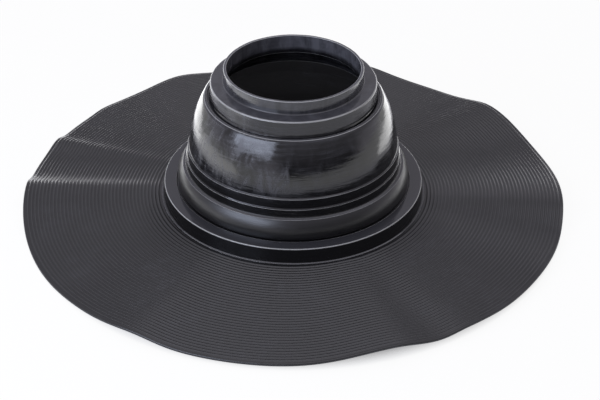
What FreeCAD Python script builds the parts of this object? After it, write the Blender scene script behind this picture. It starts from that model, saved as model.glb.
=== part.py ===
"""Pipe flashing boot: a moulded EPDM roof sleeve for a vent pipe.

One piece of rubber, from the roof upwards: a thin round skirt that lies in soft waves,
an upright base ring, a roll and two stepped cuffs, a dome, a step ring and a thin neck
that grips the pipe. Lengths are in millimetres. The origin is on the pipe's axis, at the
level of the lowest wave of the skirt, and +Z points up along the pipe.
"""
import FreeCAD, Part
import math
import os
import Sketcher

# ---------------------------------------------------------------- driving dimensions
DIMENSIONS = {
    # skirt
    "skirt_radius": 210.0,
    "skirt_thickness": 2.0,
    "skirt_start": 95.0,            # where the skirt's sheet begins, inside the ring's wall
    "foot_level": 12.1,             # top of the skirt where it leaves the base ring
    "foot_sink": 1.0,               # how deep the ring's foot reaches into the skirt
    # base ring
    "ring_foot_radius": 101.6,      # its outer wall leans in by the draft of the mould
    "ring_radius": 100.0,
    "ring_level": 23.8,
    "ring_inner_radius": 89.4,
    # roll and cuffs
    "roll_curve": 19.0,
    "roll_top_radius": 85.2,
    "roll_top_level": 39.2,
    "cuff_edge": 0.8,               # width and height of the narrow ledge over each cuff
    "lower_cuff_foot_radius": 83.2,
    "lower_cuff_radius": 82.5,
    "lower_cuff_level": 46.2,
    "upper_cuff_radius": 81.2,
    "upper_cuff_level": 54.3,
    # dome and its shoulder
    "dome_curve": 91.0,
    "dome_foot_radius": 80.2,
    "dome_top_radius": 68.6,
    "dome_top_level": 95.2,
    "shoulder_bevel_radius": 67.5,
    "shoulder_bevel_level": 96.5,
    "shoulder_radius": 65.6,
    "shoulder_level": 97.0,
    # valley, step ring and neck
    "valley_radius": 64.2,
    "valley_width": 1.1,
    "valley_level": 95.6,
    "step_foot_radius": 63.3,
    "step_foot_level": 98.2,
    "step_radius": 62.8,
    "step_level": 109.1,
    "neck_foot_radius": 53.2,
    "neck_foot_level": 109.9,
    "neck_radius": 52.7,
    "neck_level": 120.5,
    "bore_radius": 50.5,
    "bore_foot_level": 105.2,
    # walls
    "ring_wall": 3.0,
    "boot_wall": 2.8,
    "hollow_waist_radius": 74.2,    # where the two inner slopes of the dome meet
    "hollow_waist_level": 76.0,
    "cut_margin": 5.0,              # how far the hollow's form stands out at both ends
}

# The waves that the soft skirt lies in: direction, height that the wave adds to the rim,
# spread on its clockwise side and spread on its other side. Directions and spreads are in
# degrees, counted anticlockwise from +X.
WAVES = [
    (356, 8.2, 7.3, 16.0),
    (37, 9.0, 12.1, 8.2),
    (74, 7.7, 8.6, 10.0),
    (119, 4.7, 7.6, 7.6),
    (141, 1.5, 5.1, 3.2),
    (158, 3.4, 2.4, 4.1),
    (178, 6.4, 3.6, 12.0),
    (208, -3.0, 15.3, 13.4),
    (238, 3.3, 7.5, 6.4),
    (289, 7.4, 12.1, 8.9),
    (306, 3.6, 5.2, 10.3),
    (328, 2.4, 13.2, 12.1),
]
WAVE_STEPS = 90                     # points of each curve that runs round the skirt
SKIRT_BANDS = 5                     # bands from the skirt's start to its rim
TOUCHING = 1e-6

doc = FreeCAD.newDocument("FlashingBoot")
sizes = doc.addObject("Spreadsheet::Sheet", "Sizes")
for row, (alias, number) in enumerate(DIMENSIONS.items(), start=1):
    sizes.set("A%d" % row, alias)
    sizes.set("B%d" % row, str(number))
    sizes.setAlias("B%d" % row, alias)
doc.recompute()


def value(text):
    """The number that a sum of named sizes gives, such as 'ring_radius - ring_wall'."""
    total, sign = 0.0, 1.0
    for word in text.split():
        if word in "+-":
            sign = -1.0 if word == "-" else 1.0
        elif word != "0":
            total += sign * float(sizes.get(word))
    return total


def expression(text):
    """The same sum as an expression on the sheet."""
    return " ".join(word if word in "+-" else "Sizes." + word for word in text.split())


# ---------------------------------------------------------------- turned bodies
def bind(sketch, kind, places, text):
    """A dimension of the sketch that follows the sheet."""
    number = sketch.addConstraint(Sketcher.Constraint(kind, *places, value(text)))
    sketch.setExpression("Constraints[%d]" % number, expression(text))


def outward_arc(start, end, radius):
    """The arc between two points of a profile that bulges away from the axis."""
    chord = end - start
    outward = FreeCAD.Vector(abs(chord.y), -chord.x * math.copysign(1, chord.y), 0).normalize()
    rise = radius - math.sqrt(radius ** 2 - (chord.Length / 2) ** 2)
    return Part.Arc(start, (start + end) * 0.5 + outward * rise, end)


def add_profile(body, name, corners):
    """A closed sketch in the body's XZ plane, through corners given as named sizes.

    A corner is (radius, level) or (radius, level, curve). With a curve, the side that
    leads to the next corner is an arc of that radius.
    """
    sketch = body.newObject("Sketcher::SketchObject", name)
    plane = next(f for f in body.Origin.OriginFeatures if f.Role == "XZ_Plane")
    sketch.AttachmentSupport = [(plane, "")]
    sketch.MapMode = "FlatFace"
    places = [FreeCAD.Vector(value(corner[0]), value(corner[1]), 0) for corner in corners]
    first_ends = []
    for side, corner in enumerate(corners):
        start, end = places[side], places[(side + 1) % len(places)]
        if len(corner) == 3:
            sketch.addGeometry(outward_arc(start, end, value(corner[2])), False)
        else:
            sketch.addGeometry(Part.LineSegment(start, end), False)
        at_start = sketch.getPoint(side, 1).distanceToPoint(start) < TOUCHING
        first_ends.append(1 if at_start else 2)
    for side, first in enumerate(first_ends):
        before = (side - 1) % len(corners)
        last = 3 - first_ends[before]
        sketch.addConstraint(Sketcher.Constraint("Coincident", before, last, side, first))
    for side, (first, corner) in enumerate(zip(first_ends, corners)):
        if corner[0] == "0":
            sketch.addConstraint(Sketcher.Constraint("PointOnObject", side, first, -2))
        else:
            bind(sketch, "DistanceX", (-1, 1, side, first), corner[0])
        bind(sketch, "DistanceY", (-1, 1, side, first), corner[1])
        if len(corner) == 3:
            bind(sketch, "Radius", (side,), corner[2])
    return sketch


def add_turned_body(name, corners):
    """A body turned from one closed profile about the pipe's axis."""
    body = doc.addObject("PartDesign::Body", name)
    sketch = add_profile(body, name + "Profile", corners)
    turned = body.newObject("PartDesign::Revolution", name + "Turned")
    turned.Profile = sketch
    turned.ReferenceAxis = (sketch, ["V_Axis"])
    turned.Angle = 360.0
    body.Tip = turned
    return body


outer_form = add_turned_body("OuterForm", [
    ("0", "foot_level - foot_sink"),
    ("ring_foot_radius", "foot_level - foot_sink"),
    ("ring_radius", "ring_level"),
    ("ring_inner_radius", "ring_level", "roll_curve"),
    ("roll_top_radius", "roll_top_level"),
    ("lower_cuff_foot_radius", "roll_top_level + cuff_edge"),
    ("lower_cuff_radius", "lower_cuff_level"),
    ("lower_cuff_radius - cuff_edge", "lower_cuff_level + cuff_edge"),
    ("upper_cuff_radius", "upper_cuff_level"),
    ("dome_foot_radius", "upper_cuff_level + cuff_edge", "dome_curve"),
    ("dome_top_radius", "dome_top_level"),
    ("shoulder_bevel_radius", "shoulder_bevel_level"),
    ("shoulder_radius", "shoulder_level"),
    ("valley_radius + valley_width", "valley_level"),
    ("valley_radius", "valley_level"),
    ("step_foot_radius", "step_foot_level"),
    ("step_radius", "step_level"),
    ("neck_foot_radius", "neck_foot_level"),
    ("neck_radius", "neck_level"),
    ("0", "neck_level"),
])

# The hollow that the pipe passes through, open to the roof below and to the air above.
pipe_space = add_turned_body("PipeSpace", [
    ("0", "foot_level - cut_margin"),
    ("ring_radius - ring_wall", "foot_level - cut_margin"),
    ("ring_radius - ring_wall", "ring_level - ring_wall"),
    ("ring_inner_radius - ring_wall", "ring_level - ring_wall"),
    ("roll_top_radius - ring_wall", "roll_top_level - boot_wall"),
    ("dome_foot_radius - boot_wall", "upper_cuff_level + cuff_edge"),
    ("hollow_waist_radius", "hollow_waist_level"),
    ("dome_top_radius - boot_wall", "dome_top_level - boot_wall"),
    ("step_radius - boot_wall", "dome_top_level - boot_wall"),
    ("step_radius - boot_wall", "bore_foot_level"),
    ("bore_radius", "bore_foot_level"),
    ("bore_radius", "neck_level + cut_margin"),
    ("0", "neck_level + cut_margin"),
])


# ---------------------------------------------------------------- wavy skirt
def wave_height(angle):
    """What the waves add to the rim's height in one direction, in degrees."""
    height = 0.0
    for direction, rise, before, after in WAVES:
        turn = (angle - direction + 180.0) % 360.0 - 180.0
        spread = before if turn < 0 else after
        height += rise * math.exp(-(turn / spread) ** 2)
    return height


DIRECTIONS = [360.0 * step / WAVE_STEPS for step in range(WAVE_STEPS)]
LOWEST_WAVE = min(wave_height(tenth / 10.0) for tenth in range(3600))


def add_ring_curve(name, radius, drop):
    """A closed curve round the skirt that follows the waves, drop below its top face.

    The waves grow from nothing at the skirt's start to their full height at its rim, and
    the lowest of them rests on the ground.
    """
    start = value("skirt_start")
    growth = (radius - start) / (value("skirt_radius") - start)
    points = []
    for angle in DIRECTIONS:
        rim_level = value("skirt_thickness") + wave_height(angle) - LOWEST_WAVE
        level = value("foot_level") + growth * (rim_level - value("foot_level")) - drop
        turn = math.radians(angle)
        points.append(FreeCAD.Vector(radius * math.cos(turn), radius * math.sin(turn), level))
    curve = Part.BSplineCurve()
    curve.interpolate(Points=points, PeriodicFlag=True,
                      Parameters=[float(step) for step in range(WAVE_STEPS + 1)])
    ring = doc.addObject("Part::Feature", name)
    ring.Shape = Part.Wire([curve.toShape()])
    return ring


thickness = value("skirt_thickness")
top_curves, bottom_curves = [], []
for band in range(SKIRT_BANDS + 1):
    share = band / SKIRT_BANDS
    radius = (1 - share) * value("skirt_start") + share * value("skirt_radius")
    top_curves.append(add_ring_curve("SkirtTop%d" % band, radius, 0.0))
    bottom_curves.append(add_ring_curve("SkirtBottom%d" % band, radius, thickness))
skirt = doc.addObject("Part::Loft", "Skirt")
skirt.Sections = top_curves + bottom_curves[::-1]
skirt.Solid = True
skirt.Ruled = True
skirt.Closed = True

# ---------------------------------------------------------------- the moulded boot
moulding = doc.addObject("Part::Fuse", "Moulding")
moulding.Base = outer_form
moulding.Tool = skirt
boot = doc.addObject("Part::Cut", "Boot")
boot.Base = moulding
boot.Tool = pipe_space
boot.Label = "flashing_boot"
boot.Placement = FreeCAD.Placement()
doc.recompute()

for item in doc.Objects:
    if "Invalid" in item.State or "Error" in item.State:
        raise RuntimeError("%s did not recompute" % item.Label)
if boot.Shape.isNull() or not boot.Shape.isValid():
    raise RuntimeError("%s has no valid shape" % boot.Label)
os.makedirs("parts", exist_ok=True)
boot.Shape.exportStep("parts/%s.step" % boot.Label)
print(boot.Label, "solids", len(boot.Shape.Solids), "faces", len(boot.Shape.Faces))
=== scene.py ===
"""Pipe flashing boot, dressed: a ribbed EPDM roof sleeve for a vent pipe.

Two meshes stand for the one moulding. Each is an outline that Geometry Nodes turn about
the pipe's axis: the stepped boot along a plain circle, and the skirt along a rim line that
rises and falls in soft waves, with fine ribs on its top. Lengths in the settings are in
metres; the outlines are written in millimetres.
"""

import math

import bpy
from bpy.props import FloatProperty, FloatVectorProperty, IntProperty, PointerProperty
from mathutils import Matrix, Vector


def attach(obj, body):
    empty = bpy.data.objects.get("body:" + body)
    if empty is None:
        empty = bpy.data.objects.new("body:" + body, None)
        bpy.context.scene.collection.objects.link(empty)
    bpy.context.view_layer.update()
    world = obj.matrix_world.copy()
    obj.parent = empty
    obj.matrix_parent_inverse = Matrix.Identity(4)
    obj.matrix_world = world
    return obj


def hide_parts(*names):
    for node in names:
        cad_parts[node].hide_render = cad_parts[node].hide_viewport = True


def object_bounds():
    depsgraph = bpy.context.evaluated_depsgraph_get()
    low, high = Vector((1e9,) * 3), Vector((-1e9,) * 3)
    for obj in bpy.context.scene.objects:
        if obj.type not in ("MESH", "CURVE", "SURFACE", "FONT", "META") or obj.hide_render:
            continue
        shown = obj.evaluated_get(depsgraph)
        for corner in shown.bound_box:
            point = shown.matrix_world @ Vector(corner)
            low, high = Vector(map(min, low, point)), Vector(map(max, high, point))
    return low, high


bl_info = {
    "name": "Pipe Flashing Boot",
    "version": (1, 0, 0),
    "blender": (4, 5, 0),
    "location": "3D Viewport > Sidebar > Flashing Boot",
    "description": "Ribbed EPDM flashing boot for a vent pipe, with its skirt lying in soft waves",
    "category": "Add Mesh",
}

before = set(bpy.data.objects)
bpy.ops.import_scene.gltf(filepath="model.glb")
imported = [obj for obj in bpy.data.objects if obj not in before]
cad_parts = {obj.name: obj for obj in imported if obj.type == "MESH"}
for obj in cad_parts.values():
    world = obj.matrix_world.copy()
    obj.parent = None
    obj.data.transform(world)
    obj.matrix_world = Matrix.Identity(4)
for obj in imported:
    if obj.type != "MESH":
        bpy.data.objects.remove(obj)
cad_low, cad_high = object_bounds()

MM = 0.001
NODE = "flashing_boot"

# The waves that the soft skirt lies in: direction, height added to the rim in millimetres,
# spread on the clockwise side and spread on the other side, in degrees from +X.
WAVES = [
    (356, 8.2, 7.3, 16.0),
    (37, 9.0, 12.1, 8.2),
    (74, 7.7, 8.6, 10.0),
    (119, 4.7, 7.6, 7.6),
    (141, 1.5, 5.1, 3.2),
    (158, 3.4, 2.4, 4.1),
    (178, 6.4, 3.6, 12.0),
    (208, -3.0, 15.3, 13.4),
    (238, 3.3, 7.5, 6.4),
    (289, 7.4, 12.1, 8.9),
    (306, 3.6, 5.2, 10.3),
    (328, 2.4, 13.2, 12.1),
]

# The boot's outline, in millimetres: radius, level, rounding of the corner, and where the
# side to the next corner bulges outwards, the radius of its arc. It runs up the outside
# from the base ring's foot and comes back down the inside.
BOOT_OUTLINE = [
    (97.0, 11.1, 0.0),
    (103.0, 11.1, 0.0),
    (102.6, 12.3, 0.1),
    (101.6, 12.7, 0.1),
    (100.0, 23.8, 0.9),
    (90.7, 23.8, 0.5),
    (90.1, 22.8, 0.2),
    (89.3, 22.8, 0.3, 19.0),
    (85.2, 39.2, 0.5),
    (83.2, 40.0, 0.5),
    (82.5, 46.2, 0.4),
    (81.7, 47.0, 0.4),
    (81.2, 54.3, 0.4),
    (80.2, 55.1, 0.5, 91.0),
    (68.6, 95.2, 1.6),
    (67.5, 96.5, 1.2),
    (65.6, 97.0, 0.3),
    (65.3, 95.6, 0.3),
    (64.2, 95.6, 0.3),
    (63.3, 98.2, 0.8),
    (62.8, 109.1, 1.3),
    (53.2, 109.9, 0.9),
    (52.7, 120.5, 0.7),
    (50.5, 120.5, 0.5),
    (50.5, 105.2, 0.5),
    (60.0, 105.2, 0.5),
    (60.0, 92.4, 0.5),
    (65.8, 92.4, 1.0),
    (74.2, 76.0, 4.0),
    (77.4, 55.1, 2.0),
    (82.2, 36.4, 1.0),
    (86.4, 20.8, 1.0),
    (97.0, 20.8, 1.0),
]


# How the two faces of the moulding differ: the noise levels between which a patch of bloom
# grows in, the colour's share from the film and the extra grey on faces that look up, the mark
# that takes the light grey and its share (on edges a painted highlight with some wear, on rib
# crests painted shade in the grooves with some dust), and what clean and filmed rubber add to
# the roughness.
RIBBED_FINISH = {"patches": (0.44, 0.62), "film": 0.08, "facing_up_grey": 0.02,
                 "mark": "rib_crest", "painted_light_and_wear": 0.05, "clean": 0.14, "filmed": 0.24}
SMOOTH_FINISH = {"patches": (0.30, 0.50), "film": 0.45, "facing_up_grey": 0.26,
                 "mark": "worn_edge", "painted_light_and_wear": 0.85, "clean": -0.03, "filmed": 0.30}

# The lamps: name, place, size, power in watts, level they are aimed at and colour. The low
# ones lie nearly flat beside the skirt, to be mirrored in the boot's sides.
SOFTBOXES = [
    ("overhead", (0.0, 0.10, 1.60), (2.20, 1.90), 10.0, 0.06, "#f8f6ff"),
    ("front left", (-0.80, -0.76, 0.58), (1.00, 0.60), 9.5, 0.06, "#dde7ff"),
    ("low left", (-0.33, -0.04, 0.012), (0.34, 0.17), 0.24, 2.0, "#ffffff"),
    ("low back left", (-0.19, 0.25, 0.012), (0.34, 0.17), 0.50, 2.0, "#ffffff"),
    ("low right", (0.27, 0.20, 0.012), (0.38, 0.17), 0.46, 2.0, "#ffffff"),
]

# The floor runs this far to the sides and back, starts this far in front, and lies just
# under the skirt.
FLOOR_REACH, FLOOR_FRONT, FLOOR_LEVEL = 4.0, -0.8, -0.0002

# The camera's sensor in millimetres, and its shift across and up, which centres the boot.
SENSOR_WIDTH = 36.0
LENS_SHIFT = (0.0116, -0.0197)

# The backdrop lights the boot with a trace of violet.
BACKDROP_TINT = "#f6f3ff"


def linear(colour):
    """Linear colour, with alpha, of an sRGB hex value."""
    parts = [int(colour[place:place + 2], 16) / 255 for place in (1, 3, 5)]
    curve = [c / 12.92 if c <= 0.04045 else ((c + 0.055) / 1.055) ** 2.4 for c in parts]
    return (*curve, 1.0)


# ---------------------------------------------------------------- settings
class SkirtSettings(bpy.types.PropertyGroup):
    """Sizes of the ribbed skirt."""

    radius: FloatProperty(
        name="Radius", description="From the pipe's axis to the skirt's rim",
        default=0.210, unit="LENGTH")
    thickness: FloatProperty(
        name="Thickness", description="Of the sheet between its ribs",
        default=0.0020, unit="LENGTH")
    start: FloatProperty(
        name="Start", description="Radius at which the waves begin to rise",
        default=0.095, unit="LENGTH")
    inner_radius: FloatProperty(
        name="Inner Radius", description="Of the sheet's edge inside the base ring",
        default=0.097, unit="LENGTH")
    foot_level: FloatProperty(
        name="Foot Level", description="Top of the skirt where it leaves the base ring",
        default=0.0121, unit="LENGTH")
    rib_start: FloatProperty(
        name="Rib Start", description="Radius at which the first rib rises",
        default=0.1040, unit="LENGTH")
    rib_pitch: FloatProperty(
        name="Rib Pitch", description="From one rib to the next",
        default=0.0028, unit="LENGTH")
    rib_height: FloatProperty(
        name="Rib Height", description="Of a rib's crest over the groove beside it",
        default=0.0006, unit="LENGTH")
    rib_count: IntProperty(
        name="Ribs", description="Number of rings of rib", default=37, min=1)
    rib_points: IntProperty(
        name="Points on a Rib", description="Points of the outline for each rib",
        default=8, min=4)
    segments: IntProperty(
        name="Segments", description="Steps round the rim", default=288, min=24)


class BootSettings(bpy.types.PropertyGroup):
    """How finely the boot is turned, and how its neck was cut."""

    segments: IntProperty(
        name="Segments", description="Steps round the pipe's axis", default=288, min=24)
    cut_depth: FloatProperty(
        name="Cut Unevenness", description="How far the knife dips into the neck's rim",
        default=0.0007, unit="LENGTH")
    cut_reach: FloatProperty(
        name="Cut Reach", description="How far below the rim the neck follows its dips",
        default=0.004, unit="LENGTH")


class RubberSettings(bpy.types.PropertyGroup):
    """Colours of the rubber."""

    rubber: FloatVectorProperty(
        name="Rubber", description="Carbon black EPDM",
        size=4, subtype="COLOR", default=linear("#09090b"))
    bloom: FloatVectorProperty(
        name="Bloom", description="The greyish film of wax and dust on it",
        size=4, subtype="COLOR", default=linear("#5c5c61"))
    # painted highlight: this light grey on the outstanding edges, and a little of it on the rib
    # crests, stands for the light they catch, with some real wear
    highlight_and_scuff: FloatVectorProperty(
        name="Highlight and Scuff", description="Edges whose skin is rubbed or cut",
        size=4, subtype="COLOR", default=linear("#a6a6a3"))
    roughness: FloatProperty(
        name="Roughness", description="Of clean moulded rubber",
        default=0.16, min=0.0, max=1.0, subtype="FACTOR")


class StageSettings(bpy.types.PropertyGroup):
    """Camera, floor and lamps."""

    elevation: FloatProperty(
        name="Elevation", description="Of the camera over the horizon",
        default=math.radians(33.0), subtype="ANGLE")
    roll: FloatProperty(
        name="Roll", description="Of the camera about its line of sight",
        default=math.radians(0.263), subtype="ANGLE")
    distance: FloatProperty(
        name="Distance", description="From the camera to the middle of the base",
        default=1.302, unit="LENGTH")
    lens: FloatProperty(
        name="Lens", description="Focal length in millimetres", default=99.73, unit="CAMERA")
    paper: FloatVectorProperty(
        name="Paper", description="Colour of the floor and backdrop",
        size=4, subtype="COLOR", default=linear("#ffffff"))


# ---------------------------------------------------------------- helpers
def add(tree, kind, sources=None, **settings):
    """A node of the tree with its settings, and its inputs as values or links."""
    node = tree.nodes.new(kind)
    for name, choice in settings.items():
        setattr(node, name, choice)
    for key, source in (sources or {}).items():
        if isinstance(source, bpy.types.NodeSocket):
            tree.links.new(source, node.inputs[key])
        else:
            node.inputs[key].default_value = source
    return node


def new_tree(name, inputs, outputs):
    """An empty geometry tree with named sockets, its inputs and its outputs."""
    tree = bpy.data.node_groups.new(name, "GeometryNodeTree")
    for in_out, sockets in (("INPUT", inputs), ("OUTPUT", outputs)):
        for label, kind in sockets:
            tree.interface.new_socket(name=label, in_out=in_out, socket_type="NodeSocket" + kind)
    given = tree.nodes.new("NodeGroupInput").outputs
    result = tree.nodes.new("NodeGroupOutput").inputs
    return tree, given, result


def wire_object(name, points, highlight_and_wear=None):
    """A closed loop of edges through the points, as an object of the scene.

    highlight_and_wear tells how much painted edge highlight, with some wear in it, each
    point's edge takes, from 0 to 1.
    """
    mesh = bpy.data.meshes.new(name)
    edges = [(place, (place + 1) % len(points)) for place in range(len(points))]
    mesh.from_pydata(points, edges, [])
    if highlight_and_wear:
        mesh.attributes.new("worn_edge", "FLOAT", "POINT").data.foreach_set("value", highlight_and_wear)
    wire = bpy.data.objects.new(name, mesh)
    bpy.context.scene.collection.objects.link(wire)
    return wire


def grow(piece, tree, values):
    """Runs the tree on the piece, and keeps what it makes as the piece's own plain mesh."""
    modifier = piece.modifiers.new(tree.name, "NODES")
    modifier.node_group = tree
    sockets = {item.name: item.identifier for item in tree.interface.items_tree
               if item.in_out == "INPUT"}
    for label, number in values.items():
        modifier[sockets[label]] = number
    graph = bpy.context.evaluated_depsgraph_get()
    made = bpy.data.meshes.new_from_object(piece.evaluated_get(graph))
    piece.modifiers.remove(modifier)
    wire = piece.data
    piece.data = made
    made.name = piece.name
    bpy.data.meshes.remove(wire)


def join_to_frame(piece):
    """The piece rides on the one body and stands for the CAD node."""
    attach(piece, "root")
    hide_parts(NODE)


# ---------------------------------------------------------------- outlines
def outward_arc(start, end, radius, steps):
    """Points between two corners of an outline that climbs, on an arc that bulges outwards."""
    chord = end - start
    outward = Vector((chord.y, -chord.x)).normalized()
    centre = (start + end) / 2 - outward * math.sqrt(radius ** 2 - (chord.length / 2) ** 2)
    first = math.atan2(start.y - centre.y, start.x - centre.x)
    last = math.atan2(end.y - centre.y, end.x - centre.x)
    turns = [first + (last - first) * step / steps for step in range(1, steps)]
    return [centre + Vector((math.cos(turn), math.sin(turn))) * radius for turn in turns]


def rounded(corners, arc_step=1.8, round_steps=4, side_share=0.42, edge_limit=155.0):
    """The closed outline through the corners, with arcs drawn and corners rounded.

    A rounding takes at most side_share of the side next to it. A point beside each rounding
    keeps the flats looking flat. The outline runs anticlockwise, so a corner that turns left
    stands out, and if it is sharper than edge_limit in degrees it is marked for the painted
    edge highlight, which has some wear in it.
    """
    places = []
    for side, corner in enumerate(corners):
        here = Vector(corner[:2])
        places.append((here, corner[2]))
        if len(corner) == 4:
            there = Vector(corners[(side + 1) % len(corners)][:2])
            steps = max(2, round((there - here).length / arc_step))
            places += [(point, 0.0) for point in outward_arc(here, there, corner[3], steps)]
    points, highlight_and_wear = [], []
    for place, (here, size) in enumerate(places):
        if size == 0.0:
            points.append(here)
            highlight_and_wear.append(0.0)
            continue
        back = places[place - 1][0] - here
        ahead = places[(place + 1) % len(places)][0] - here
        bend = back.angle(ahead)
        reach = min(size / math.tan(bend / 2), side_share * back.length,
                    side_share * ahead.length)
        size = reach * math.tan(bend / 2)
        middle = (back.normalized() + ahead.normalized()).normalized()
        centre = here + middle * (size / math.sin(bend / 2))
        start = here + back.normalized() * reach
        end = here + ahead.normalized() * reach
        margin = 0.35 * size + 0.1
        stands_out = ahead.cross(back) > 0 and bend < math.radians(edge_limit)
        if back.length > 3 * (reach + margin):
            points.append(start + back.normalized() * margin)
            highlight_and_wear.append(0.0)
        spoke = start - centre
        sweep = spoke.angle_signed(end - centre)
        for step in range(round_steps + 1):
            points.append(centre + Matrix.Rotation(-sweep * step / round_steps, 2) @ spoke)
            # the painted edge highlight, with some wear in it, is strongest in the middle of the
            # rounding
            highlight_share = math.sin(math.pi * (step + 0.5) / (round_steps + 1))
            highlight_and_wear.append(highlight_share if stands_out else 0.0)
        if ahead.length > 3 * (reach + margin):
            points.append(end + ahead.normalized() * margin)
            highlight_and_wear.append(0.0)
    return [(point.x * MM, point.y * MM, 0.0) for point in points], highlight_and_wear


def skirt_outline(skirt, round_steps=6, bottom_steps=12):
    """The skirt's outline: flat underside, rounded rim, and the ribs' points evenly on top.

    Its underside lies at level 0. The tree raises the ribs and the waves.
    """
    edge = 0.3 * skirt.thickness
    rim = skirt.radius - 2 * edge
    step = skirt.rib_pitch / skirt.rib_points
    top = [skirt.inner_radius, skirt.rib_start - 0.003, skirt.rib_start - 0.001]
    top += [skirt.rib_start + step * count
            for count in range(skirt.rib_count * skirt.rib_points + 1)]
    points = [(radius, skirt.thickness, 0.0) for radius in top + [rim]]
    for count in range(round_steps + 1):
        turn = math.pi * count / round_steps
        lift = (1.0 + math.cos(turn)) * skirt.thickness / 2
        points.append((skirt.radius - edge + math.sin(turn) * edge, lift, 0.0))
    for count in range(bottom_steps + 1):
        radius = rim + (skirt.inner_radius - rim) * count / bottom_steps
        points.append((radius, 0.0, 0.0))
    return points


def wave_height(angle):
    """What the waves add to the rim's level in one direction, in millimetres and degrees."""
    height = 0.0
    for direction, rise, before, after in WAVES:
        turn = (angle - direction + 180.0) % 360.0 - 180.0
        spread = before if turn < 0 else after
        height += rise * math.exp(-(turn / spread) ** 2)
    return height


def rim_line(skirt):
    """Points round the skirt's rim, at the level of its top face."""
    lowest = min(wave_height(tenth / 10.0) for tenth in range(3600))
    points = []
    for step in range(skirt.segments):
        angle = 360.0 * step / skirt.segments
        turn = math.radians(angle)
        level = skirt.thickness + (wave_height(angle) - lowest) * MM
        points.append((skirt.radius * math.cos(turn), skirt.radius * math.sin(turn), level))
    return points


# ---------------------------------------------------------------- geometry trees
def turned_outline_tree():
    """Group that sweeps an outline round a path and tells each point's place in both."""
    tree, given, result = new_tree(
        "Turned Outline",
        [("Path", "Geometry"), ("Outline", "Geometry")],
        [("Mesh", "Geometry"), ("Direction", "Vector"), ("Rim Level", "Float"),
         ("Radius", "Float"), ("Level", "Float")])
    place = add(tree, "GeometryNodeInputPosition").outputs[0]
    swept = []
    for label in ("Path", "Outline"):
        curve = add(tree, "GeometryNodeMeshToCurve", {"Mesh": given[label]}).outputs["Curve"]
        keep = add(tree, "GeometryNodeCaptureAttribute", {"Geometry": curve}, domain="POINT")
        keep.capture_items.new("VECTOR", "Place")
        tree.links.new(place, keep.inputs["Place"])
        swept.append(keep.outputs)
    path, outline = swept
    mesh = add(tree, "GeometryNodeCurveToMesh",
               {"Curve": path["Geometry"], "Profile Curve": outline["Geometry"]})
    flat = add(tree, "ShaderNodeVectorMath", {0: path["Place"], 1: (1.0, 1.0, 0.0)},
               operation="MULTIPLY")
    direction = add(tree, "ShaderNodeVectorMath", {0: flat.outputs[0]}, operation="NORMALIZE")
    rim = add(tree, "ShaderNodeSeparateXYZ", {0: path["Place"]})
    corner = add(tree, "ShaderNodeSeparateXYZ", {0: outline["Place"]})
    tree.links.new(mesh.outputs["Mesh"], result["Mesh"])
    tree.links.new(direction.outputs[0], result["Direction"])
    tree.links.new(rim.outputs["Z"], result["Rim Level"])
    tree.links.new(corner.outputs["X"], result["Radius"])
    tree.links.new(corner.outputs["Y"], result["Level"])
    return tree


def finish_tree(tree, given, result, turned, level):
    """Puts each turned point at its radius and level, and closes the tree."""
    outwards = add(tree, "ShaderNodeVectorMath",
                   {0: turned["Direction"], "Scale": turned["Radius"]}, operation="SCALE")
    upwards = add(tree, "ShaderNodeCombineXYZ", {"Z": level})
    place = add(tree, "ShaderNodeVectorMath", {0: outwards.outputs[0], 1: upwards.outputs[0]},
                operation="ADD")
    set_place = add(tree, "GeometryNodeSetPosition",
                    {"Geometry": turned["Mesh"], "Position": place.outputs[0]})
    smooth = add(tree, "GeometryNodeSetShadeSmooth", {"Geometry": set_place.outputs[0]})
    real = add(tree, "GeometryNodeRealizeInstances", {"Geometry": smooth.outputs[0]})
    painted = add(tree, "GeometryNodeSetMaterial",
                  {"Geometry": real.outputs[0], "Material": given["Material"]})
    tree.links.new(painted.outputs[0], result["Geometry"])
    return tree


def boot_tree(turned_outline):
    """The boot's outline turned about the axis, with the neck's rim cut a little unevenly."""
    tree, given, result = new_tree(
        "Stepped Boot",
        [("Geometry", "Geometry"), ("Circle", "Object"), ("Rim Level", "Float"),
         ("Cut Unevenness", "Float"), ("Cut Reach", "Float"), ("Material", "Material")],
        [("Geometry", "Geometry")])
    circle = add(tree, "GeometryNodeObjectInfo", {"Object": given["Circle"]})
    turned = add(tree, "GeometryNodeGroup", node_tree=turned_outline)
    tree.links.new(circle.outputs["Geometry"], turned.inputs["Path"])
    tree.links.new(given["Geometry"], turned.inputs["Outline"])
    turned = turned.outputs
    cut = add(tree, "ShaderNodeTexNoise", {"Vector": turned["Direction"], "Scale": 3.0,
                                           "Detail": 5.0, "Roughness": 0.62})
    start = add(tree, "ShaderNodeMath", {0: given["Rim Level"], 1: given["Cut Reach"]},
                operation="SUBTRACT")
    near = add(tree, "ShaderNodeMapRange", {"Value": turned["Level"], 1: start.outputs[0],
                                            2: given["Rim Level"], 3: 0.0, 4: 1.0})
    depth = add(tree, "ShaderNodeMath", {0: cut.outputs[0], 1: given["Cut Unevenness"]},
                operation="MULTIPLY")
    dip = add(tree, "ShaderNodeMath", {0: depth.outputs[0], 1: near.outputs[0]},
              operation="MULTIPLY")
    level = add(tree, "ShaderNodeMath", {0: turned["Level"], 1: dip.outputs[0]},
                operation="SUBTRACT")
    return finish_tree(tree, given, result, turned, level.outputs[0])


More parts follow.
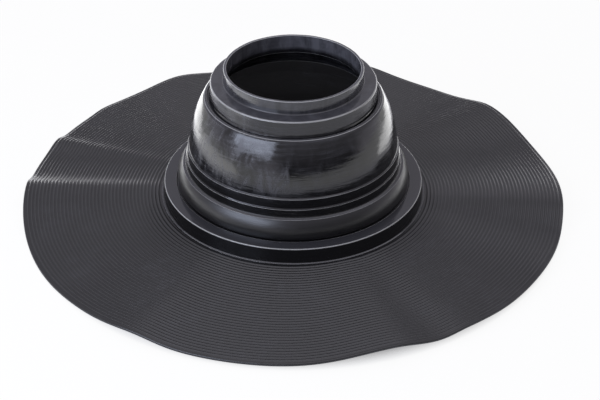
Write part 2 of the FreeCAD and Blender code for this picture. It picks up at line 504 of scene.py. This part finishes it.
def skirt_tree(turned_outline):
    """The skirt's outline turned along the wavy rim line, with its ribs raised on top."""
    tree, given, result = new_tree(
        "Ribbed Skirt",
        [("Geometry", "Geometry"), ("Rim Line", "Object"), ("Radius", "Float"),
         ("Thickness", "Float"), ("Start", "Float"), ("Foot Level", "Float"),
         ("Rib Start", "Float"), ("Rib Pitch", "Float"), ("Rib Height", "Float"),
         ("Ribs", "Int"), ("Material", "Material")],
        [("Geometry", "Geometry")])
    line = add(tree, "GeometryNodeObjectInfo", {"Object": given["Rim Line"]})
    turned = add(tree, "GeometryNodeGroup", node_tree=turned_outline)
    tree.links.new(line.outputs["Geometry"], turned.inputs["Path"])
    tree.links.new(given["Geometry"], turned.inputs["Outline"])
    turned = turned.outputs
    # each rib is one turn of a cosine, from its own groove over the crest to the next one
    past = add(tree, "ShaderNodeMath", {0: turned["Radius"], 1: given["Rib Start"]},
               operation="SUBTRACT")
    count = add(tree, "ShaderNodeMath", {0: past.outputs[0], 1: given["Rib Pitch"]},
                operation="DIVIDE")
    within = add(tree, "ShaderNodeClamp", {"Value": count.outputs[0], "Min": 0.0,
                                           "Max": given["Ribs"]})
    turn = add(tree, "ShaderNodeMath", {0: within.outputs[0], 1: math.tau}, operation="MULTIPLY")
    cosine = add(tree, "ShaderNodeMath", {0: turn.outputs[0]}, operation="COSINE")
    crest = add(tree, "ShaderNodeMapRange",
                {"Value": cosine.outputs[0], 1: 1.0, 2: -1.0, 3: 0.0, 4: 1.0})
    crest = add(tree, "ShaderNodeMath", {0: crest.outputs[0], 1: 1.5}, operation="POWER")
    on_top = add(tree, "ShaderNodeMath", {0: turned["Level"], 1: given["Thickness"]},
                 operation="DIVIDE")
    on_top = add(tree, "ShaderNodeMath", {0: on_top.outputs[0], 1: 0.99},
                 operation="GREATER_THAN")
    crest = add(tree, "ShaderNodeMath", {0: crest.outputs[0], 1: on_top.outputs[0]},
                operation="MULTIPLY")
    rise = add(tree, "ShaderNodeMath", {0: crest.outputs[0], 1: given["Rib Height"]},
               operation="MULTIPLY")
    # the waves grow from nothing at their start to their full height at the rim
    growth = add(tree, "ShaderNodeMapRange",
                 {"Value": turned["Radius"], 1: given["Start"], 2: given["Radius"],
                  3: given["Foot Level"], 4: turned["Rim Level"]}, clamp=False)
    sheet = add(tree, "ShaderNodeMath", {0: turned["Level"], 1: given["Thickness"]},
                operation="SUBTRACT")
    level = add(tree, "ShaderNodeMath", {0: growth.outputs[0], 1: sheet.outputs[0]},
                operation="ADD")
    level = add(tree, "ShaderNodeMath", {0: level.outputs[0], 1: rise.outputs[0]},
                operation="ADD")
    # rib_crest also sets where the skirt is painted lighter: crests over grooves, painted shade in
    # the grooves with some dust
    marked = add(tree, "GeometryNodeStoreNamedAttribute",
                 {"Geometry": turned["Mesh"], "Name": "rib_crest", "Value": crest.outputs[0]},
                 data_type="FLOAT", domain="POINT")
    turned = {"Mesh": marked.outputs[0], "Direction": turned["Direction"],
              "Radius": turned["Radius"]}
    return finish_tree(tree, given, result, turned, level.outputs[0])


# ---------------------------------------------------------------- materials
def new_material(name):
    """An empty node material, its tree and its output's surface socket."""
    material = bpy.data.materials.new(name)
    material.use_nodes = True
    tree = material.node_tree
    tree.nodes.clear()
    return material, tree, add(tree, "ShaderNodeOutputMaterial").inputs["Surface"]


def epdm_rubber(colours, ribbed):
    """Compression-moulded EPDM: carbon black, half glossy, with a grey film of bloom.

    The film lies in soft patches, most on faces that look up, and dulls the gloss; hands
    wipe it off the dome in upright streaks and leave it thick on the neck. Outstanding edges
    are painted a lighter grey, a painted highlight with some wear in it, and rib crests a little
    lighter than their grooves, painted shade in the grooves with some dust. The mould's lathe
    lines print as faint rings.
    """
    finish = RIBBED_FINISH if ribbed else SMOOTH_FINISH
    material, tree, surface = new_material("EPDM rubber, " + ("ribbed" if ribbed else "smooth"))
    place = add(tree, "ShaderNodeTexCoord").outputs["Object"]
    height = add(tree, "ShaderNodeSeparateXYZ", {0: place}).outputs["Z"]
    # patches of bloom about 40 mm across, and smudges about 9 mm across and 25 mm tall
    patches = add(tree, "ShaderNodeTexNoise", {"Vector": place, "Scale": 26.0, "Detail": 4.0,
                                               "Roughness": 0.6})
    upright = add(tree, "ShaderNodeMapping", {"Vector": place, "Scale": (1.0, 1.0, 0.36)})
    smudges = add(tree, "ShaderNodeTexNoise", {"Vector": upright.outputs[0], "Scale": 110.0,
                                               "Detail": 5.0, "Roughness": 0.62,
                                               "Distortion": 0.9})
    patch = add(tree, "ShaderNodeMapRange", {"Value": patches.outputs[0],
                                             1: finish["patches"][0], 2: finish["patches"][1]})
    smudge = add(tree, "ShaderNodeMapRange", {"Value": smudges.outputs[0], 1: 0.40, 2: 0.66})
    film = add(tree, "ShaderNodeMath", {0: patch.outputs[0], 1: smudge.outputs[0]},
               operation="MULTIPLY")
    # a faint grain about 1 mm across
    relief = add(tree, "ShaderNodeTexNoise", {"Vector": place, "Scale": 900.0, "Detail": 2.0})
    facing = add(tree, "ShaderNodeNewGeometry").outputs["Normal"]
    facing = add(tree, "ShaderNodeSeparateXYZ", {0: facing})
    # faces that look up take more of the grey, so they come out lighter
    facing_up_grey = add(tree, "ShaderNodeMapRange", {"Value": facing.outputs["Z"], 1: 0.55, 2: 0.95,
                                               3: 0.0, 4: finish["facing_up_grey"]})
    if not ribbed:
        # from the dome up, the film is heaviest on the front-left side and a quarter as thick
        # elsewhere
        side = add(tree, "ShaderNodeVectorMath", {0: place, 1: (-8.0, -11.0, 0.0)},
                   operation="DOT_PRODUCT")
        front_left_share = add(tree, "ShaderNodeMapRange", {"Value": side.outputs["Value"],
                                                   1: 0.72, 2: 0.98, 3: 0.25, 4: 1.0})
        dome_and_up = add(tree, "ShaderNodeMapRange", {"Value": height, 1: 0.050, 2: 0.062})
        front_left_share = add(tree, "ShaderNodeMath", {0: front_left_share.outputs[0], 1: dome_and_up.outputs[0]},
                      operation="MULTIPLY")
        film = add(tree, "ShaderNodeMath", {0: film.outputs[0], 1: front_left_share.outputs[0]},
                   operation="MULTIPLY")
    amount = add(tree, "ShaderNodeMath", {0: film.outputs[0], 1: finish["film"],
                                          2: facing_up_grey.outputs[0]}, operation="MULTIPLY_ADD")
    rough = add(tree, "ShaderNodeMapRange", {"Value": film.outputs[0],
                                             3: colours.roughness + finish["clean"],
                                             4: colours.roughness + finish["filmed"]})
    if not ribbed:
        # the film is thick and cloudy outside on the neck, and thinner inside it
        flat = add(tree, "ShaderNodeVectorMath", {0: place, 1: (1.0, 1.0, 0.0)},
                   operation="MULTIPLY")
        reach = add(tree, "ShaderNodeVectorMath", {0: flat.outputs[0]}, operation="LENGTH")
        neck = add(tree, "ShaderNodeMapRange", {"Value": height, 1: 0.1075, 2: 0.111})
        thinner = add(tree, "ShaderNodeMapRange", {"Value": reach.outputs["Value"], 1: 0.0508,
                                                   2: 0.0516, 3: 1.0, 4: 0.36})
        cloudy = add(tree, "ShaderNodeMapRange", {"Value": smudges.outputs[0], 1: 0.30, 2: 0.70,
                                                  3: 0.40, 4: 1.0})
        neck = add(tree, "ShaderNodeMath", {0: neck.outputs[0], 1: thinner.outputs[0]},
                   operation="MULTIPLY")
        amount = add(tree, "ShaderNodeMath", {0: neck.outputs[0], 1: cloudy.outputs[0],
                                              2: amount.outputs[0]}, operation="MULTIPLY_ADD")
        # lathe lines about 2 mm apart and 25 mm long, drawn deeper than real to show
        around = add(tree, "ShaderNodeMapping", {"Vector": place, "Scale": (1.0, 1.0, 13.0)})
        lathe = add(tree, "ShaderNodeTexNoise", {"Vector": around.outputs[0], "Scale": 40.0,
                                                 "Detail": 3.0, "Roughness": 0.6})
        dusty = add(tree, "ShaderNodeMapRange", {"Value": lathe.outputs[0], 1: 0.48, 2: 0.68,
                                                 3: 0.0, 4: 0.12})
        dusty = add(tree, "ShaderNodeMath", {0: dusty.outputs[0], 1: dome_and_up.outputs[0]},
                    operation="MULTIPLY")
        amount = add(tree, "ShaderNodeMath", {0: amount.outputs[0], 1: dusty.outputs[0]},
                     operation="ADD")
        relief = add(tree, "ShaderNodeMath", {0: lathe.outputs[0], 1: 9.0,
                                              2: relief.outputs[0]}, operation="MULTIPLY_ADD")
        lines = add(tree, "ShaderNodeMapRange", {"Value": lathe.outputs[0], 1: 0.35, 2: 0.65,
                                                 3: -0.05, 4: 0.07})
        rough = add(tree, "ShaderNodeMath", {0: rough.outputs[0], 1: lines.outputs[0]},
                    operation="ADD")
        # the roll below the cuffs, 33 mm up, was never polished
        roll = add(tree, "ShaderNodeMath", {0: height, 1: 0.033}, operation="SUBTRACT")
        roll = add(tree, "ShaderNodeMath", {0: roll.outputs[0]}, operation="ABSOLUTE")
        roll = add(tree, "ShaderNodeMapRange", {"Value": roll.outputs[0], 1: 0.006, 2: 0.009,
                                                3: 0.20, 4: -0.04})
        rough = add(tree, "ShaderNodeMath", {0: rough.outputs[0], 1: roll.outputs[0]},
                    operation="ADD")
    tint = add(tree, "ShaderNodeMix", {"Factor": amount.outputs[0], 6: colours.rubber,
                                       7: colours.bloom}, data_type="RGBA")
    # painted highlight: edges take the light grey for the light they catch, with some wear; rib
    # crests take a little, painted shade in the grooves with some dust
    painted_light_and_wear = add(tree, "ShaderNodeAttribute", attribute_name=finish["mark"])
    painted_light_and_wear = add(tree, "ShaderNodeMapRange", {"Value": painted_light_and_wear.outputs["Fac"], 1: 0.4, 2: 1.0,
                                              3: 0.0, 4: finish["painted_light_and_wear"]})
    tint = add(tree, "ShaderNodeMix", {"Factor": painted_light_and_wear.outputs[0], 6: tint.outputs[2],
                                       7: colours.highlight_and_scuff}, data_type="RGBA")
    bump = add(tree, "ShaderNodeBump", {"Height": relief.outputs[0], "Strength": 0.10,
                                        "Distance": 0.0001})
    # rubber's index is about 1.5; a little more gives the waxy gloss of the real surface
    shader = add(tree, "ShaderNodeBsdfPrincipled",
                 {"Base Color": tint.outputs[2], "Roughness": rough.outputs[0], "IOR": 1.6,
                  "Normal": bump.outputs[0]})
    tree.links.new(shader.outputs[0], surface)
    return material


def pale_floor(colour, covered):
    """Seamless studio paper: matt white, bright to the eye and in reflections.

    A part of it stays plain matt paper, which takes the object's shadow, and all of it
    does within the radius that the skirt covers.
    """
    material, tree, surface = new_material("Seamless paper, white")
    under = add(tree, "ShaderNodeMix", {6: (0.0, 0.0, 0.0, 1.0), 7: colour}, data_type="RGBA")
    paper = add(tree, "ShaderNodeBsdfDiffuse", {"Color": under.outputs[2]})
    bright = add(tree, "ShaderNodeEmission", {"Color": colour, "Strength": 1.0})
    path = add(tree, "ShaderNodeLightPath")
    mirrored = add(tree, "ShaderNodeMath", {0: path.outputs["Is Glossy Ray"],
                                            1: path.outputs["Is Transmission Ray"]},
                   operation="MAXIMUM")
    place = add(tree, "ShaderNodeTexCoord").outputs["Object"]
    far = add(tree, "ShaderNodeVectorMath", {0: place}, operation="LENGTH").outputs["Value"]
    # what the eye sees turns bright just under the rim, what is mirrored 130 mm beyond it
    clear = add(tree, "ShaderNodeMapRange", {"Value": far, 1: covered - 0.02, 2: covered,
                                             3: 0.0, 4: 0.92})
    nearby = add(tree, "ShaderNodeMapRange", {"Value": far, 1: covered, 2: covered + 0.13,
                                              3: 0.0, 4: 0.86})
    clear = add(tree, "ShaderNodeMath", {0: clear.outputs[0],
                                         1: path.outputs["Is Camera Ray"]},
                operation="MULTIPLY")
    share = add(tree, "ShaderNodeMath", {0: mirrored.outputs[0], 1: nearby.outputs[0],
                                         2: clear.outputs[0]}, operation="MULTIPLY_ADD")
    # inside the boot the paper is a little darker: painted shade under the boot
    painted_floor_shade = add(tree, "ShaderNodeMapRange", {"Value": far, 1: 0.09, 2: 0.11, 3: 0.7, 4: 1.0})
    tree.links.new(painted_floor_shade.outputs[0], under.inputs["Factor"])
    mixed = add(tree, "ShaderNodeMixShader", {0: share.outputs[0], 1: paper.outputs[0],
                                              2: bright.outputs[0]})
    tree.links.new(mixed.outputs[0], surface)
    return material


def studio_world(colour):
    """White backdrop behind and beside, fading upwards, and a dim room behind the camera."""
    world = bpy.data.worlds.new("Studio")
    world.use_nodes = True
    tree = world.node_tree
    tree.nodes.clear()
    output = add(tree, "ShaderNodeOutputWorld")
    path = add(tree, "ShaderNodeLightPath")
    seen = add(tree, "ShaderNodeMath", {0: path.outputs["Is Camera Ray"],
                                        1: path.outputs["Is Glossy Ray"]}, operation="MAXIMUM")
    seen = add(tree, "ShaderNodeMath", {0: seen.outputs[0],
                                        1: path.outputs["Is Transmission Ray"]},
               operation="MAXIMUM")
    towards = add(tree, "ShaderNodeTexCoord").outputs["Generated"]
    rise = add(tree, "ShaderNodeSeparateXYZ", {0: towards}).outputs["Z"]
    backdrop = add(tree, "ShaderNodeMapRange",
                   {"Value": rise, 1: 0.0, 2: 0.28, 3: 0.9, 4: 0.54},
                   interpolation_type="SMOOTHSTEP")
    room = add(tree, "ShaderNodeMapRange", {"Value": rise, 1: 0.05, 2: 0.45, 3: 0.15, 4: 0.5})
    facing_room = add(tree, "ShaderNodeVectorMath", {0: towards, 1: (0.5, -0.866, 0.0)},
                      operation="DOT_PRODUCT")
    share = add(tree, "ShaderNodeMapRange", {"Value": facing_room.outputs["Value"],
                                             1: 0.55, 2: 0.85},
                interpolation_type="SMOOTHSTEP")
    studio = add(tree, "ShaderNodeMix", {"Factor": share.outputs[0], "A": backdrop.outputs[0],
                                         "B": room.outputs[0]}, data_type="FLOAT")
    # matt surfaces get a little less of it than they mirror
    dim = add(tree, "ShaderNodeMath", {0: studio.outputs["Result"], 1: 0.8},
              operation="MULTIPLY")
    level = add(tree, "ShaderNodeMix", {"Factor": seen.outputs[0], "A": dim.outputs[0],
                                        "B": studio.outputs["Result"]}, data_type="FLOAT")
    level = add(tree, "ShaderNodeMix", {"Factor": path.outputs["Is Camera Ray"],
                                        "A": level.outputs["Result"], "B": 1.0},
                data_type="FLOAT")
    tint = add(tree, "ShaderNodeMix", {"Factor": path.outputs["Is Camera Ray"],
                                       6: linear(BACKDROP_TINT), 7: colour}, data_type="RGBA")
    light = add(tree, "ShaderNodeBackground", {"Color": tint.outputs[2],
                                               "Strength": level.outputs["Result"]})
    tree.links.new(light.outputs[0], output.inputs["Surface"])
    bpy.context.scene.world = world


# ---------------------------------------------------------------- stage
def lay_floor(scene, paper):
    """One large sheet of the paper, just under the skirt."""
    mesh = bpy.data.meshes.new("floor")
    mesh.from_pydata([(x, y, FLOOR_LEVEL) for x, y in (
        (-FLOOR_REACH, FLOOR_FRONT), (FLOOR_REACH, FLOOR_FRONT),
        (FLOOR_REACH, FLOOR_REACH), (-FLOOR_REACH, FLOOR_REACH))], [], [(0, 1, 2, 3)])
    mesh.materials.append(paper)
    floor = bpy.data.objects.new("floor", mesh)
    scene.collection.objects.link(floor)


def hang_softbox(scene, name, place, size, power, aim, colour):
    """A rectangular lamp at its place, turned to a level on the pipe's axis."""
    lamp = bpy.data.lights.new("Softbox " + name, "AREA")
    lamp.shape = "RECTANGLE"
    lamp.size, lamp.size_y = size
    lamp.energy = power
    lamp.color = linear(colour)[:3]
    light = bpy.data.objects.new(lamp.name, lamp)
    light.location = place
    line = Vector((0.0, 0.0, aim)) - light.location
    light.rotation_euler = line.to_track_quat("-Z", "Y").to_euler()
    scene.collection.objects.link(light)


def place_camera(scene, stage, base_level):
    """A camera in front of the boot that looks down at the middle of its base."""
    lens = bpy.data.cameras.new("Camera")
    lens.lens = stage.lens
    lens.sensor_width = SENSOR_WIDTH
    lens.shift_x, lens.shift_y = LENS_SHIFT
    lens.clip_start, lens.clip_end = 0.05, 20.0
    camera = bpy.data.objects.new("Camera", lens)
    base = Vector((0.0, 0.0, base_level))
    back = Vector((0.0, -math.cos(stage.elevation), math.sin(stage.elevation)))
    tilt = Matrix.Rotation(math.pi / 2 - stage.elevation, 4, "X")
    camera.matrix_world = Matrix.Translation(base + back * stage.distance) @ tilt @ (
        Matrix.Rotation(stage.roll, 4, "Z"))
    scene.collection.objects.link(camera)
    return camera


# ---------------------------------------------------------------- operators
class AddSkirt(bpy.types.Operator):
    """Add the round skirt, with fine ribs on top and soft waves round its rim"""

    bl_idname = "flashing.add_skirt"
    bl_label = "Ribbed Skirt"

    def execute(self, context):
        skirt = context.scene.flashing_skirt
        piece = wire_object("ribbed_skirt", skirt_outline(skirt))
        line = wire_object("RimLine", rim_line(skirt))
        grow(piece, skirt_tree(turned_outline_tree()), {
            "Rim Line": line, "Radius": skirt.radius, "Thickness": skirt.thickness,
            "Start": skirt.start, "Foot Level": skirt.foot_level,
            "Rib Start": skirt.rib_start, "Rib Pitch": skirt.rib_pitch,
            "Rib Height": skirt.rib_height, "Ribs": skirt.rib_count,
            "Material": epdm_rubber(context.scene.flashing_rubber, ribbed=True)})
        bpy.data.objects.remove(line)
        join_to_frame(piece)
        return {"FINISHED"}


class AddBoot(bpy.types.Operator):
    """Add the base ring, the stepped cuffs, the dome and the neck that grips the pipe"""

    bl_idname = "flashing.add_boot"
    bl_label = "Stepped Boot"

    def execute(self, context):
        boot = context.scene.flashing_boot
        piece = wire_object("stepped_boot", *rounded(BOOT_OUTLINE))
        # clockwise, because the outline runs anticlockwise: that turns the faces outwards
        turns = [-math.tau * step / boot.segments for step in range(boot.segments)]
        circle = wire_object("TurningCircle", [(math.cos(turn), math.sin(turn), 0.0)
                                               for turn in turns])
        grow(piece, boot_tree(turned_outline_tree()), {
            "Circle": circle, "Rim Level": cad_high.z,
            "Cut Unevenness": boot.cut_depth, "Cut Reach": boot.cut_reach,
            "Material": epdm_rubber(context.scene.flashing_rubber, ribbed=False)})
        bpy.data.objects.remove(circle)
        join_to_frame(piece)
        return {"FINISHED"}


class AddStage(bpy.types.Operator):
    """Add the floor, the studio light and the camera"""

    bl_idname = "flashing.add_stage"
    bl_label = "Studio Stage"

    def execute(self, context):
        scene = context.scene
        stage = scene.flashing_stage
        lay_floor(scene, pale_floor(stage.paper, scene.flashing_skirt.radius))
        studio_world(stage.paper)
        for softbox in SOFTBOXES:
            hang_softbox(scene, *softbox)
        scene.camera = place_camera(scene, stage, scene.flashing_skirt.foot_level)
        scene.view_settings.view_transform = "Standard"
        return {"FINISHED"}


class FlashingPanel(bpy.types.Panel):
    """Settings of the flashing boot and the steps that make it"""

    bl_idname = "VIEW3D_PT_flashing_boot"
    bl_label = "Pipe Flashing Boot"
    bl_space_type = "VIEW_3D"
    bl_region_type = "UI"
    bl_category = "Flashing Boot"

    def draw(self, context):
        for settings, names in PANEL_SETTINGS.items():
            group = getattr(context.scene, settings)
            for name in names:
                self.layout.prop(group, name)
        for operator in OPERATORS:
            self.layout.operator(operator.bl_idname)


OPERATORS = (AddSkirt, AddBoot, AddStage)
SETTINGS = {
    "flashing_skirt": SkirtSettings,
    "flashing_boot": BootSettings,
    "flashing_rubber": RubberSettings,
    "flashing_stage": StageSettings,
}
PANEL_SETTINGS = {name: list(group.__annotations__) for name, group in SETTINGS.items()}


def register():
    """Registers the settings, the operators and the panel."""
    for group in SETTINGS.values():
        bpy.utils.register_class(group)
    for kind in (*OPERATORS, FlashingPanel):
        bpy.utils.register_class(kind)
    for name, group in SETTINGS.items():
        setattr(bpy.types.Scene, name, PointerProperty(type=group))


def unregister():
    """Takes away what register added."""
    for name in SETTINGS:
        delattr(bpy.types.Scene, name)
    for kind in (FlashingPanel, *reversed(OPERATORS), *reversed(SETTINGS.values())):
        bpy.utils.unregister_class(kind)


def main():
    """Makes the boot and its stage."""
    register()
    bpy.ops.flashing.add_skirt()
    bpy.ops.flashing.add_boot()
    bpy.ops.flashing.add_stage()


if __name__ == "__main__":
    main()
